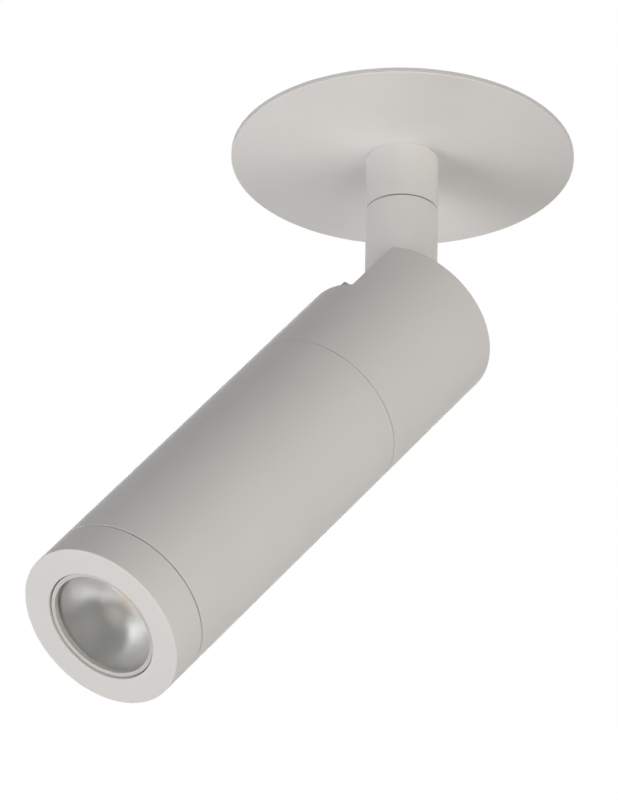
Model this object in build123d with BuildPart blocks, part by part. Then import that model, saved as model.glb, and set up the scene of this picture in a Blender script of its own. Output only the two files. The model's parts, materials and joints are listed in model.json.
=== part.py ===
"""Recessed ceiling spotlight: a round ceiling plate, a turning stem and a tilting tube head.

Millimetres, +Z up. The origin is the centre of the ceiling plate's back face, which lies against
the ceiling. The head leans toward -Y, as it stands in the photograph, and tilts about X.
"""

import os
from math import asin, cos, degrees, pi, radians, sin, sqrt

from build123d import *

# General clearances and small sizes
slip = 0.05  # radial running clearance of a shaft in its bore
seat_gap = 0.05  # between flat faces of pieces that turn against each other
free_gap = 0.3  # between pieces that must never rub
edge_break = 0.2

# Ceiling plate and the shallow cup on its back
plate_d = 100.0
plate_t = 1.5
plate_edge_round = 0.4
cup_d = 50.0
cup_wall = 2.0
cup_h = 12.0
floor_rise = 0.5
boss_r = 3.0
boss_bite = 0.4
cover_t = 1.0
cover_edge_round = 0.5
cover_screw_r = 1.25
cover_screw_head_r = 2.3
cover_screw_sink = 0.05
cover_screw_len = 8.0
cover_screw_count = 3
cover_screw_turn = 30.0

# Cable inlet in the back cover
inlet_r = 3.25
grommet_wall = 1.2
grommet_lip = 1.1
grommet_lip_t = 1.2
grommet_taper = 0.4
grommet_wall_gap = 1.0
grommet_turn = 210.0

# Terminal block and cord clamp inside the cup
terminal_l = 15.0
terminal_w = 7.6
terminal_h = 8.0
terminal_pitch = 7.0
terminal_wire_r = 1.4
terminal_screw_r = 1.3
terminal_screw_sink = 0.6
terminal_wire_z = 3.2
terminal_round = 1.0
clamp_turn = -30.0
clamp_reach = 4.9
clamp_post_r = 1.9
clamp_cable_room = 5.4
clamp_bar_w = 4.6
clamp_bar_t = 1.6
clamp_screw_r = 1.0
clamp_screw_head_r = 1.7
clamp_screw_head_t = 1.2
clamp_screw_len = 4.6

# Fixed collar, turning stem and the swivel between them
stem_d = 21.0
collar_drop = 18.6  # from the plate's back face to the collar's lower end
spigot_r = 7.5
spigot_clear = 0.1
spigot_above_nut = 0.2
lock_washer_t = 0.6
collar_nut_t = 2.0
collar_nut_r = 10.5
collar_nut_notch = 2.6
lock_tooth_len = 1.2
lock_tooth_w = 2.2
lock_tooth_count = 8
seam = 0.6
tube_r = 4.95
tube_bore_r = 3.2
tube_in_stem = 12.0
thrust_washer_t = 0.7
thrust_washer_r = 8.6
cone_washer_t = 0.5
cone_washer_rise = 0.45
cone_washer_r = 8.2
swivel_nut_t = 2.8
swivel_nut_flats = 14.0
tube_above_nut = 0.3
slip_washer_r = 6.8
stop_ring_r = 8.3
stop_pin_r = 0.8
stop_pin_rise = 1.4
stop_groove_depth = 1.8
pan_limit = 170.0

# Tilt pivot
pivot_drop = 60.5
tilt = 38.7  # from straight down, as photographed
bush_face = 9.0  # half the stem's width between its two bush pockets
bush_r = 6.2
bush_gap = 0.3
cheek_in = 11.7
cheek_t = 2.0
cheek_w = 12.0
bolt_r = 2.0
bolt_head_r = 3.6
bolt_head_t = 3.0
bolt_socket_r = 1.5
pivot_washer_t = 0.8
pivot_nut_t = 3.2
pivot_nut_flats = 7.0
bolt_past_nut = 0.5
lead_r = 1.6
lead_bore_depth = 28.0
lead_start_y = 1.4
lead_end_y = 7.0

# Head: places are distances ahead of the pivot, along the head
head_d = 50.0
head_back = 9.4
rear_len = 52.9
main_len = 99.5
bezel_len = 13.0
back_wall = 3.0
rear_wall = 4.0
joint_wall = 3.0
main_wall = 3.0
joint_len = 6.0
joint_clear = 0.1
tenon_wall = 1.9
tenon_step = 3.0
rear_edge_round = 1.2
face_edge_round = 0.35
mid_seam = 0.08
front_seam = 0.3
slot_half = 12.4
slot_ahead = 12.6

# Pivot bracket and heat sink
web_t = 2.5
bracket_screw_r = 1.5
bracket_screw_head_r = 2.7
bracket_screw_head_t = 1.8
bracket_screw_span = 13.0
bracket_screw_len = 9.0
sink_core_r = 10.0
fin_clear = 0.7
fin_t = 1.8
fin_count = 14
fin_start = 4.0
sink_base_t = 9.0

# Light source
pad_t = 0.4
board_side = 16.0
board_t = 1.2
emitter_r = 3.2
emitter_t = 0.35
holder_clear = 2.0
holder_t = 3.0
holder_rim = 1.2
holder_screw_r = 1.2
holder_screw_head_r = 2.2
holder_screw_in = 4.0
holder_screw_head_t = 1.3
holder_screw_len = 7.0

# Optic and front ring
opening_r = 17.1
face_ring_t = 2.6
lens_ring_gap = 0.25
lens_ring_wall = 0.9
lens_ring_set_back = 0.5
lens_ring_round = 0.18
lens_lip = 0.4
lens_lip_t = 1.8
lens_ring_flange_t = 1.2
pocket_step = 1.9
pocket_clear = 0.15
gasket_t = 0.6
lens_rim_t = 1.2
lens_base_r = 5.6
lens_well_r = 4.0
lens_well_depth = 5.0
lens_well_crown = 0.4
lens_belly = 1.0
optic_room = 13.0
cup_gap = 0.2
cup_side = 1.0
cup_flange_t = 0.9
retainer_t = 1.6
retainer_w = 2.4
retainer_notch = 2.2
thread_depth = 1.6
bezel_thread_len = 6.2
thread_clear = 0.1

# Spring clips
ear_r = 2.4
ear_t = 1.5
ear_in = 6.2
pin_r = 1.2
pin_head_r = 1.9
pin_head_t = 0.6
wire_r = 0.45
coil_r = 2.3
coil_turns = 3
coil_pitch = 1.4
coil_wall_gap = 0.05
leg_up = 2.2
leg_end_gap = 2.0  # from the leg's end to the pad
arm_slope = 10.0
arm_t = 1.0
arm_margin = 7.2  # from the arm's outer end in to the plate's rim
arm_flange_r = 2.45
arm_flange_in = 4.7
arm_inner_end = 1.0
pad_len = 7.0
pad_wall = 0.6
pad_round = 0.3

# Worked-out sizes of the ceiling side
stem_r = stem_d / 2
cup_r = cup_d / 2
cup_in_r = cup_r - cup_wall
boss_ring_r = cup_in_r - boss_r + boss_bite
terminal_out_y = sqrt((cup_in_r - free_gap) ** 2 - (terminal_l / 2) ** 2)
terminal_ring_r = terminal_out_y - terminal_w / 2
clamp_ring_r = (collar_nut_r + cup_in_r) / 2
lock_washer_z = floor_rise
collar_nut_z = lock_washer_z + lock_washer_t
spigot_top = collar_nut_z + collar_nut_t + spigot_above_nut
bore_r = tube_r + slip
thrust_washer_z = spigot_top + seat_gap
cone_washer_z = thrust_washer_z + thrust_washer_t
swivel_nut_z = cone_washer_z + cone_washer_t + cone_washer_rise
tube_top = swivel_nut_z + swivel_nut_t + tube_above_nut
stem_top = -collar_drop - seam
stop_play = degrees(asin((stop_pin_r + slip) / stop_ring_r))
stop_web = 2 * stop_ring_r * sin(radians(180 - pan_limit - stop_play - 0.5))
grommet_hole_r = inlet_r + grommet_wall
grommet_ring_r = cup_in_r - grommet_hole_r - grommet_lip - grommet_wall_gap
terminal_screw_z = terminal_wire_z + terminal_wire_r
clamp_z = floor_rise + clamp_cable_room

# Worked-out sizes of the clips
pin_z = cup_h - ear_r
pin_y = cup_r + coil_r + wire_r + coil_wall_gap
ear_out = ear_in + ear_t
arm_drop = coil_r + wire_r + 2 * coil_wall_gap
arm_half = arm_flange_in + arm_t
arm_len = (plate_d / 2 - arm_margin - pin_y) / cos(radians(arm_slope))
arm_flange_len = arm_len - pad_len - free_gap
leg_out = arm_len - pad_len - leg_end_gap

# The head's own frame: x is the tilt axis, y the side with the slot, z runs toward the lens
pivot = Vector(0, 0, -pivot_drop)
ahead = Vector(0, -sin(radians(tilt)), -cos(radians(tilt)))
slot_side = Vector(0, -cos(radians(tilt)), sin(radians(tilt)))
head_axis = Axis(pivot, ahead)
# x is the distance from the head's axis, y the distance ahead of the pivot
head_section = Plane(origin=pivot, x_dir=(1, 0, 0), z_dir=-slot_side)

# Places along the head
head_r = head_d / 2
rear_front = rear_len - head_back
main_front = rear_front + main_len
face = main_front + bezel_len
shoulder = rear_front - joint_len - web_t
web_front = shoulder + web_t
rear_in_r = head_r - rear_wall
joint_r = head_r - joint_wall
main_in_r = head_r - main_wall
tenon_in_r = joint_r - joint_clear - tenon_wall
fin_r = tenon_in_r - fin_clear
holder_r = main_in_r - holder_clear
bezel_back = main_front + front_seam
thread_r = head_r - thread_depth
pocket_r = opening_r + pocket_step
pocket_front = face - face_ring_t
thread_end = bezel_back + bezel_thread_len
lens_ring_r = opening_r - lens_ring_gap
lens_ring_in_r = lens_ring_r - lens_ring_wall
lens_ring_front = face - lens_ring_set_back
flange_r = pocket_r - pocket_clear
flange_front = pocket_front - gasket_t
flange_back = flange_front - lens_ring_flange_t
mouth_r = lens_ring_in_r - lens_lip
lens_front = lens_ring_front - lens_lip_t
lens_rim_back = lens_front - lens_rim_t
lens_rim_r = lens_ring_in_r - slip
lens_side_r = lens_rim_r - cup_side - cup_gap
retainer_front = flange_back - cup_flange_t
sink_front = retainer_front - optic_room
board_back = sink_front + pad_t
board_front = board_back + board_t
holder_front = sink_front + holder_t
lens_base = holder_front + free_gap
lens_well_top = lens_base + lens_well_depth - lens_well_crown
lens_mid = (lens_base + lens_rim_back) / 2 - lens_belly / 2
lens_mid_r = (lens_base_r + lens_side_r) / 2 + lens_belly / 2
holder_screw_ring_r = holder_r - holder_screw_in


def across(distance):
    """The plane square to the head's axis, that far ahead of the pivot."""
    return Plane(origin=pivot + ahead * distance, x_dir=(1, 0, 0), z_dir=ahead)


def hinge_plane(x):
    """The plane square to the tilt axis at x, with its origin on the axis and +Y, +Z as x, y."""
    return Plane(origin=(x, 0, -pivot_drop), x_dir=(0, 1, 0), z_dir=(1, 0, 0))


def ring(plane, outer_r, inner_r, thickness):
    """A plain washer that stands on the plane."""
    with BuildPart() as washer:
        with BuildSketch(plane):
            Circle(outer_r)
            Circle(inner_r, mode=Mode.SUBTRACT)
        extrude(amount=thickness)
    return washer


os.makedirs("parts", exist_ok=True)

# Ceiling plate: thin round disc with the cup, three cover bosses and four clip ears cast on
with BuildPart() as ceiling_plate:
    with BuildSketch(Plane.XY.offset(-plate_t)):
        Circle(plate_d / 2)
    extrude(amount=plate_t)
    fillet(ceiling_plate.edges().group_by(Axis.Z)[0], plate_edge_round)
    with BuildSketch():
        Circle(cup_r)
    extrude(amount=floor_rise)
    with BuildSketch():
        Circle(cup_r)
        Circle(cup_in_r, mode=Mode.SUBTRACT)
        with PolarLocations(boss_ring_r, cover_screw_count, cover_screw_turn):
            Circle(boss_r)
    extrude(amount=cup_h)
    with BuildSketch(Plane.XY.offset(floor_rise)):
        with PolarLocations(clamp_ring_r, 1, clamp_turn):
            with Locations((0, clamp_reach), (0, -clamp_reach)):
                Circle(clamp_post_r)
    extrude(amount=clamp_cable_room)
    for inner_x in (ear_in, -ear_out):
        with BuildSketch(Plane.YZ.offset(inner_x)):
            with Locations((-pin_y, pin_z), (pin_y, pin_z)):
                Circle(ear_r)
            for end in (-1, 1):
                with Locations((end * (pin_y + cup_r - 1) / 2, pin_z)):
                    Rectangle(pin_y - cup_r + 1, 2 * ear_r)
        extrude(amount=ear_t)
    with BuildSketch(Plane.YZ):
        with Locations((-pin_y, pin_z), (pin_y, pin_z)):
            Circle(pin_r + slip)
    extrude(amount=ear_out, both=True, mode=Mode.SUBTRACT)
    with BuildSketch(Plane.XY.offset(-plate_t)):
        Circle(spigot_r + spigot_clear)
    extrude(amount=plate_t + floor_rise, mode=Mode.SUBTRACT)
    with BuildSketch(Plane.XY.offset(cup_h)):
        with PolarLocations(boss_ring_r, cover_screw_count, cover_screw_turn):
            Circle(cover_screw_r)
    extrude(amount=-cover_screw_len, mode=Mode.SUBTRACT)
    with BuildSketch(Plane.XY.offset(clamp_z)):
        with PolarLocations(clamp_ring_r, 1, clamp_turn):
            with Locations((0, clamp_reach), (0, -clamp_reach)):
                Circle(clamp_screw_r)
    extrude(amount=-clamp_cable_room, mode=Mode.SUBTRACT)
ceiling_plate.part.label = "ceiling_plate"
export_step(ceiling_plate.part, "parts/ceiling_plate.step")

# Back cover: the cup's lid, with countersunk screws and the cable inlet
with BuildPart() as back_cover:
    with BuildSketch(Plane.XY.offset(cup_h)):
        Circle(cup_r)
    extrude(amount=cover_t)
    fillet(back_cover.edges().group_by(Axis.Z)[-1], cover_edge_round)
    with Locations(Plane.XY.offset(cup_h + cover_t)):
        with PolarLocations(boss_ring_r, cover_screw_count, cover_screw_turn):
            CounterSinkHole(cover_screw_r + slip, cover_screw_head_r, counter_sink_angle=90)
        with PolarLocations(grommet_ring_r, 1, grommet_turn):
            Hole(grommet_hole_r)
back_cover.part.label = "back_cover"
export_step(back_cover.part, "parts/back_cover.step")

# Cover screws: flat heads flush with the cover, shanks in the bosses
head_depth = cover_screw_head_r - cover_screw_r
with BuildPart() as cover_screws:
    with BuildSketch(Plane.XZ):
        with BuildLine():
            Polyline(
                (0, cup_h + cover_t - cover_screw_sink),
                (cover_screw_head_r - 2 * cover_screw_sink, cup_h + cover_t - cover_screw_sink),
                (cover_screw_r - slip, cup_h + cover_t - head_depth),
                (cover_screw_r - slip, cup_h + cover_t - cover_screw_len),
                (0, cup_h + cover_t - cover_screw_len),
                close=True,
            )
        make_face()
    revolve(axis=Axis.Z)
screw_group = PolarLocations(boss_ring_r, cover_screw_count, cover_screw_turn)
with BuildPart() as cover_screw_set:
    with screw_group:
        add(cover_screws.part)
cover_screw_set.part.label = "cover_screws"
export_step(cover_screw_set.part, "parts/cover_screws.step")

# Grommet: rubber ring with a lip on both sides of the cover
with BuildPart() as cable_grommet:
    with BuildSketch(Plane.XZ):
        with BuildLine():
            Polyline(
                (inlet_r, cup_h - grommet_lip_t),
                (grommet_hole_r + grommet_lip, cup_h - grommet_lip_t),
                (grommet_hole_r + grommet_lip, cup_h),
                (grommet_hole_r, cup_h),
                (grommet_hole_r, cup_h + cover_t),
                (grommet_hole_r + grommet_lip, cup_h + cover_t),
                (grommet_hole_r + grommet_lip - grommet_taper, cup_h + cover_t + grommet_lip_t),
                (inlet_r, cup_h + cover_t + grommet_lip_t),
                close=True,
            )
        make_face()
    revolve(axis=Axis.Z)
with BuildPart() as placed_grommet:
    with PolarLocations(grommet_ring_r, 1, grommet_turn):
        add(cable_grommet.part)
placed_grommet.part.label = "cable_grommet"
export_step(placed_grommet.part, "parts/cable_grommet.step")

# Terminal block: two ways, wires in from both long sides, screws from above
with BuildPart() as terminal_block:
    with BuildSketch(Plane.XY.offset(floor_rise)):
        with Locations((0, terminal_ring_r)):
            RectangleRounded(terminal_l, terminal_w, terminal_round)
    extrude(amount=terminal_h)
    with BuildSketch(Plane.XZ.offset(-terminal_ring_r)):
        with Locations((0, floor_rise + terminal_wire_z)):
            with GridLocations(terminal_pitch, 1, 2, 1):
                Circle(terminal_wire_r)
    extrude(amount=terminal_w / 2, both=True, mode=Mode.SUBTRACT)
    with Locations(Plane.XY.offset(floor_rise + terminal_h)):
        with Locations((0, terminal_ring_r)):
            with GridLocations(terminal_pitch, 1, 2, 1):
                Hole(terminal_screw_r + slip, depth=terminal_h - terminal_screw_z)
terminal_block.part.label = "terminal_block"
export_step(terminal_block.part, "parts/terminal_block.step")

with BuildPart() as terminal_screws:
    with BuildSketch(Plane.XY.offset(floor_rise + terminal_screw_z)):
        with Locations((0, terminal_ring_r)):
            with GridLocations(terminal_pitch, 1, 2, 1):
                Circle(terminal_screw_r)
    extrude(amount=terminal_h - terminal_screw_z - terminal_screw_sink)
terminal_screws.part.label = "terminal_screws"
export_step(terminal_screws.part, "parts/terminal_screws.step")

# Cord clamp: a bar over the cable, screwed to two posts of the plate
with BuildPart() as cord_clamp:
    with BuildSketch(Plane.XY.offset(clamp_z)):
        with PolarLocations(clamp_ring_r, 1, clamp_turn):
            SlotCenterToCenter(2 * clamp_reach, clamp_bar_w, rotation=90)
            with Locations((0, clamp_reach), (0, -clamp_reach)):
                Circle(clamp_screw_r + slip, mode=Mode.SUBTRACT)
    extrude(amount=clamp_bar_t)
cord_clamp.part.label = "cord_clamp"
export_step(cord_clamp.part, "parts/cord_clamp.step")

with BuildPart() as clamp_screws:
    with BuildSketch(Plane.XY.offset(clamp_z + clamp_bar_t - clamp_screw_len)):
        with PolarLocations(clamp_ring_r, 1, clamp_turn):
            with Locations((0, clamp_reach), (0, -clamp_reach)):
                Circle(clamp_screw_r - slip)
    extrude(amount=clamp_screw_len)
    with BuildSketch(Plane.XY.offset(clamp_z + clamp_bar_t)):
        with PolarLocations(clamp_ring_r, 1, clamp_turn):
            with Locations((0, clamp_reach), (0, -clamp_reach)):
                Circle(clamp_screw_head_r)
    extrude(amount=clamp_screw_head_t)
clamp_screws.part.label = "clamp_screws"
export_step(clamp_screws.part, "parts/clamp_screws.step")

# Fixed collar: the upper length of the stem, shouldered against the plate, with the stop groove
with BuildPart() as fixed_collar:
    with BuildSketch(Plane.XZ):
        with BuildLine():
            Polyline(
                (bore_r, -collar_drop),
                (stem_r, -collar_drop),
                (stem_r, -plate_t),
                (spigot_r, -plate_t),
                (spigot_r, spigot_top),
                (bore_r, spigot_top),
                close=True,
            )
        make_face()
    revolve(axis=Axis.Z)
    outer_rim = fixed_collar.edges().group_by(Axis.Z)[0].sort_by(SortBy.RADIUS)[-1]
    chamfer(outer_rim, edge_break)
    with BuildSketch(Plane.XY.offset(-collar_drop)):
        Circle(stop_ring_r + stop_pin_r + slip)
        Circle(stop_ring_r - stop_pin_r - slip, mode=Mode.SUBTRACT)
        with Locations((0, stop_ring_r)):
            Rectangle(stop_web, 4 * stop_pin_r, mode=Mode.SUBTRACT)
    extrude(amount=stop_groove_depth, mode=Mode.SUBTRACT)
fixed_collar.part.label = "fixed_collar"
export_step(fixed_collar.part, "parts/fixed_collar.step")

# Lock washer with inner teeth, under the slotted collar nut
with BuildPart() as collar_lock_washer:
    with BuildSketch(Plane.XY.offset(lock_washer_z)):
        Circle(collar_nut_r)
        Circle(spigot_r + lock_tooth_len, mode=Mode.SUBTRACT)
        with PolarLocations(spigot_r + slip + lock_tooth_len / 2 + 0.1, lock_tooth_count):
            Rectangle(lock_tooth_len + 0.2, lock_tooth_w)
    extrude(amount=lock_washer_t)
collar_lock_washer.part.label = "collar_lock_washer"
export_step(collar_lock_washer.part, "parts/collar_lock_washer.step")

with BuildPart() as collar_nut:
    with BuildSketch(Plane.XY.offset(collar_nut_z)):
        Circle(collar_nut_r)
        Circle(spigot_r, mode=Mode.SUBTRACT)
        with PolarLocations(collar_nut_r, 4, 45):
            Rectangle(collar_nut_notch, collar_nut_notch, mode=Mode.SUBTRACT)
    extrude(amount=collar_nut_t)
collar_nut.part.label = "collar_nut"
export_step(collar_nut.part, "parts/collar_nut.step")

# Slip washer: fills the turning seam inside the ring of the stop pin
slip_washer = ring(Plane.XY.offset(stem_top + seat_gap), slip_washer_r, bore_r, seam - seat_gap)
slip_washer.part.label = "slip_washer"
export_step(slip_washer.part, "parts/slip_washer.step")

# Swivel tube: screwed into the stem, turns in the collar, carries the lead to the head
swivel_tube = ring(Plane.XY.offset(stem_top - tube_in_stem), tube_r, tube_bore_r,
                   tube_top - stem_top + tube_in_stem)
chamfer(swivel_tube.edges().group_by(Axis.Z)[-1].sort_by(SortBy.RADIUS)[-1], edge_break)
swivel_tube.part.label = "swivel_tube"
export_step(swivel_tube.part, "parts/swivel_tube.step")

thrust_washer = ring(Plane.XY.offset(thrust_washer_z), thrust_washer_r, tube_r, thrust_washer_t)
thrust_washer.part.label = "thrust_washer"
export_step(thrust_washer.part, "parts/thrust_washer.step")

# Cone washer: a sprung dish between thrust washer and nut
with BuildPart() as cone_washer:
    with BuildSketch(Plane.XZ):
        with BuildLine():
            Polyline(
                (cone_washer_r, cone_washer_z),
                (cone_washer_r, cone_washer_z + cone_washer_t),
                (tube_r, swivel_nut_z),
                (tube_r, swivel_nut_z - cone_washer_t),
                close=True,
            )
        make_face()
    revolve(axis=Axis.Z)
cone_washer.part.label = "cone_washer"
export_step(cone_washer.part, "parts/cone_washer.step")

with BuildPart() as swivel_nut:
    with BuildSketch(Plane.XY.offset(swivel_nut_z)):
        RegularPolygon(swivel_nut_flats / 2, 6, major_radius=False)
        Circle(tube_r, mode=Mode.SUBTRACT)
    extrude(amount=swivel_nut_t)
swivel_nut.part.label = "swivel_nut"
export_step(swivel_nut.part, "parts/swivel_nut.step")

# Stem: round bar with a nose rounded about the tilt axis, two bush pockets and the lead's passage
lead_top = stem_top - lead_bore_depth
lead_path = Vector(0, lead_end_y - lead_start_y, -pivot_drop - stem_r - lead_top)
with BuildPart() as stem:
    with BuildSketch(Plane.YZ.offset(-stem_r)):
        with Locations((0, (stem_top - pivot_drop) / 2)):
            Rectangle(stem_d, stem_top + pivot_drop)
        with Locations((0, -pivot_drop)):
            Circle(stem_r)
    extrude(amount=stem_d)
    with BuildSketch(Plane.XY.offset(-pivot_drop - stem_r)):
        Circle(stem_r)
    extrude(amount=pivot_drop + stem_r + stem_top, mode=Mode.INTERSECT)
    chamfer(stem.edges().group_by(Axis.Z)[-1].sort_by(SortBy.RADIUS)[-1], edge_break)
    for side in (-1, 1):
        with BuildSketch(hinge_plane(side * bush_face)):
            Circle(bush_r + bush_gap)
        extrude(amount=side * stem_r, mode=Mode.SUBTRACT)
    with BuildSketch(hinge_plane(0)):
        Circle(bolt_r + slip)
    extrude(amount=stem_r, both=True, mode=Mode.SUBTRACT)
    with BuildSketch(Plane.XY.offset(stem_top)):
        Circle(tube_r)
    extrude(amount=-tube_in_stem, mode=Mode.SUBTRACT)
    with BuildSketch(Plane.XY.offset(stem_top)):
        Circle(tube_bore_r)
    extrude(amount=-lead_bore_depth, mode=Mode.SUBTRACT)
    with BuildSketch(Plane(origin=(0, lead_start_y, lead_top), z_dir=lead_path)):
        Circle(lead_r)
    extrude(amount=lead_path.length + lead_r, mode=Mode.SUBTRACT)
    with BuildSketch(Plane.XY.offset(stem_top)):
        with Locations((0, -stop_ring_r)):
            Circle(stop_pin_r)
    extrude(amount=-2 * stop_pin_rise, mode=Mode.SUBTRACT)
stem.part.label = "stem"
export_step(stem.part, "parts/stem.step")

with BuildPart() as stop_pin:
    with BuildSketch(Plane.XY.offset(stem_top - 2 * stop_pin_rise)):
        with Locations((0, -stop_ring_r)):
            Circle(stop_pin_r)
    extrude(amount=3 * stop_pin_rise + seam)
    chamfer(stop_pin.edges().group_by(Axis.Z)[-1], edge_break)
stop_pin.part.label = "stop_pin"
export_step(stop_pin.part, "parts/stop_pin.step")

# Friction bushes of the tilt joint: they fill the stem's pockets up to the bracket's cheeks
for side, name in ((-1, "tilt_bush_left"), (1, "tilt_bush_right")):
    with BuildPart() as bush:
        with BuildSketch(hinge_plane(side * (bush_face + seat_gap))):
            Circle(bush_r)
            Circle(bolt_r, mode=Mode.SUBTRACT)
        extrude(amount=side * (cheek_in - bush_face - seat_gap))
    bush.part.label = name
    export_step(bush.part, f"parts/{name}.step")

# Rear housing: round cup around the pivot, with the stem's slot open to the side and the rear
with BuildPart() as rear_housing:
    with BuildSketch(head_section):
        with BuildLine():
            Polyline(
                (0, -head_back),
                (head_r, -head_back),
                (head_r, rear_front),
                (joint_r, rear_front),
                (joint_r, shoulder),
                (rear_in_r, shoulder),
                (rear_in_r, back_wall - head_back),
                (0, back_wall - head_back),
                close=True,
            )
        make_face()
    revolve(axis=head_axis)
    fillet(rear_housing.edges().group_by(head_axis)[0], rear_edge_round)
    chamfer(rear_housing.edges().group_by(head_axis)[-1].sort_by(SortBy.RADIUS)[-1], edge_break)
    slot_mid = (slot_ahead - head_back) / 2
    with BuildSketch(Plane(origin=pivot, x_dir=(1, 0, 0), z_dir=slot_side)):
        with Locations((0, -slot_mid)):
            Rectangle(2 * slot_half, slot_ahead + head_back)
    extrude(amount=head_r, mode=Mode.SUBTRACT)
    with BuildSketch(across(-head_back)):
        Circle(slot_half)
    extrude(amount=back_wall, mode=Mode.SUBTRACT)
rear_housing.part.label = "rear_housing"
export_step(rear_housing.part, "parts/rear_housing.step")

# Pivot bracket: a web clamped between housing and main tube, and two cheeks around the stem
with BuildPart() as pivot_bracket:
    with BuildSketch(across(shoulder)):
        Circle(joint_r - joint_clear)
    extrude(amount=web_t)
    for inner_x in (cheek_in, -cheek_in - cheek_t):
        with BuildSketch(Plane(origin=pivot + Vector(inner_x, 0, 0), x_dir=ahead, z_dir=(1, 0, 0))):
            Circle(cheek_w / 2)
            with Locations((shoulder / 2, 0)):
                Rectangle(shoulder, cheek_w)
        extrude(amount=cheek_t)
    with BuildSketch(hinge_plane(0)):
        Circle(bolt_r)
    extrude(amount=cheek_in + cheek_t, both=True, mode=Mode.SUBTRACT)
    with BuildSketch(across(shoulder)):
        with GridLocations(1, bracket_screw_span, 1, 2):
            Circle(bracket_screw_r)
        Circle(tube_bore_r)
    extrude(amount=web_t, mode=Mode.SUBTRACT)
pivot_bracket.part.label = "pivot_bracket"
export_step(pivot_bracket.part, "parts/pivot_bracket.step")

# Pivot bolt with its socket head, spring washer and nut, all inside the rear housing
cheek_out = cheek_in + cheek_t
nut_end = cheek_out + pivot_washer_t + pivot_nut_t
with BuildPart() as pivot_bolt:
    with BuildSketch(hinge_plane(-nut_end - bolt_past_nut)):
        Circle(bolt_r)
    extrude(amount=cheek_out + nut_end + bolt_past_nut)
    with BuildSketch(hinge_plane(cheek_out)):
        Circle(bolt_head_r)
    extrude(amount=bolt_head_t)
    with BuildSketch(hinge_plane(cheek_out + bolt_head_t)):
        RegularPolygon(bolt_socket_r, 6, major_radius=False)
    extrude(amount=-bolt_socket_r, mode=Mode.SUBTRACT)
pivot_bolt.part.label = "pivot_bolt"
export_step(pivot_bolt.part, "parts/pivot_bolt.step")

pivot_washer = ring(hinge_plane(-cheek_out - pivot_washer_t), bolt_head_r, bolt_r, pivot_washer_t)
pivot_washer.part.label = "pivot_washer"
export_step(pivot_washer.part, "parts/pivot_washer.step")

with BuildPart() as pivot_nut:
    with BuildSketch(hinge_plane(-nut_end)):
        RegularPolygon(pivot_nut_flats / 2, 6, major_radius=False)
        Circle(bolt_r, mode=Mode.SUBTRACT)
    extrude(amount=pivot_nut_t)
pivot_nut.part.label = "pivot_nut"
export_step(pivot_nut.part, "parts/pivot_nut.step")

# Bracket screws: they hold the heat sink on the web
with BuildPart() as bracket_screws:
    with BuildSketch(across(shoulder - bracket_screw_head_t)):
        with GridLocations(1, bracket_screw_span, 1, 2):
            Circle(bracket_screw_head_r)
    extrude(amount=bracket_screw_head_t)
    with BuildSketch(across(shoulder)):
        with GridLocations(1, bracket_screw_span, 1, 2):
            Circle(bracket_screw_r)
    extrude(amount=bracket_screw_len)
bracket_screws.part.label = "bracket_screws"
export_step(bracket_screws.part, "parts/bracket_screws.step")

# Heat sink: core with fins behind a solid base that fills the main tube
with BuildPart() as heat_sink:
    with BuildSketch(across(web_front)):
        Circle(sink_core_r)
    extrude(amount=sink_front - web_front)
    with BuildSketch(across(rear_front + fin_start)):
        Circle(sink_core_r - 1)
        with PolarLocations((sink_core_r - 1 + fin_r) / 2, fin_count):
            Rectangle(fin_r - sink_core_r + 1, fin_t)
    extrude(amount=sink_front - rear_front - fin_start)
    with BuildSketch(across(sink_front - sink_base_t)):
        Circle(main_in_r - joint_clear)
    extrude(amount=sink_base_t)
    with BuildSketch(across(web_front)):
        with GridLocations(1, bracket_screw_span, 1, 2):
            Circle(bracket_screw_r)
    extrude(amount=bracket_screw_len, mode=Mode.SUBTRACT)
    with BuildSketch(across(sink_front)):
        with PolarLocations(holder_screw_ring_r, 2):
            Circle(holder_screw_r)
    extrude(amount=-holder_screw_len, mode=Mode.SUBTRACT)
    with BuildSketch(across(web_front)):
        Circle(tube_bore_r)
    extrude(amount=sink_front - web_front - sink_base_t, mode=Mode.SUBTRACT)
heat_sink.part.label = "heat_sink"
export_step(heat_sink.part, "parts/heat_sink.step")

# Main tube: its rear tenon goes into the rear housing, its front thread into the bezel
with BuildPart() as main_tube:
    with BuildSketch(head_section):
        with BuildLine():
            Polyline(
                (tenon_in_r, web_front),
                (joint_r - joint_clear, web_front),
                (joint_r - joint_clear, rear_front + mid_seam),
                (head_r, rear_front + mid_seam),
                (head_r, main_front),
                (thread_r - thread_clear, main_front),
                (thread_r - thread_clear, main_front + bezel_thread_len),
                (main_in_r, main_front + bezel_thread_len),
                (main_in_r, rear_front + tenon_step),
                (tenon_in_r, rear_front + tenon_step),
                close=True,
            )
        make_face()
    revolve(axis=head_axis)
    outside = main_tube.edges().filter_by(GeomType.CIRCLE).group_by(SortBy.RADIUS)[-1]
    chamfer(outside, edge_break)
main_tube.part.label = "main_tube"
export_step(main_tube.part, "parts/main_tube.step")

# Thermal pad, board, emitter and the holder that presses them on the heat sink
with BuildPart() as thermal_pad:
    with BuildSketch(across(sink_front)):
        Rectangle(board_side, board_side)
    extrude(amount=pad_t)
thermal_pad.part.label = "thermal_pad"
export_step(thermal_pad.part, "parts/thermal_pad.step")

with BuildPart() as led_board:
    with BuildSketch(across(board_back)):
        Rectangle(board_side, board_side)
    extrude(amount=board_t)
led_board.part.label = "led_board"
export_step(led_board.part, "parts/led_board.step")

with BuildPart() as led_emitter:
    with BuildSketch(across(board_front)):
        Circle(emitter_r)
    extrude(amount=emitter_t)
led_emitter.part.label = "led_emitter"
export_step(led_emitter.part, "parts/led_emitter.step")

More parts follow.
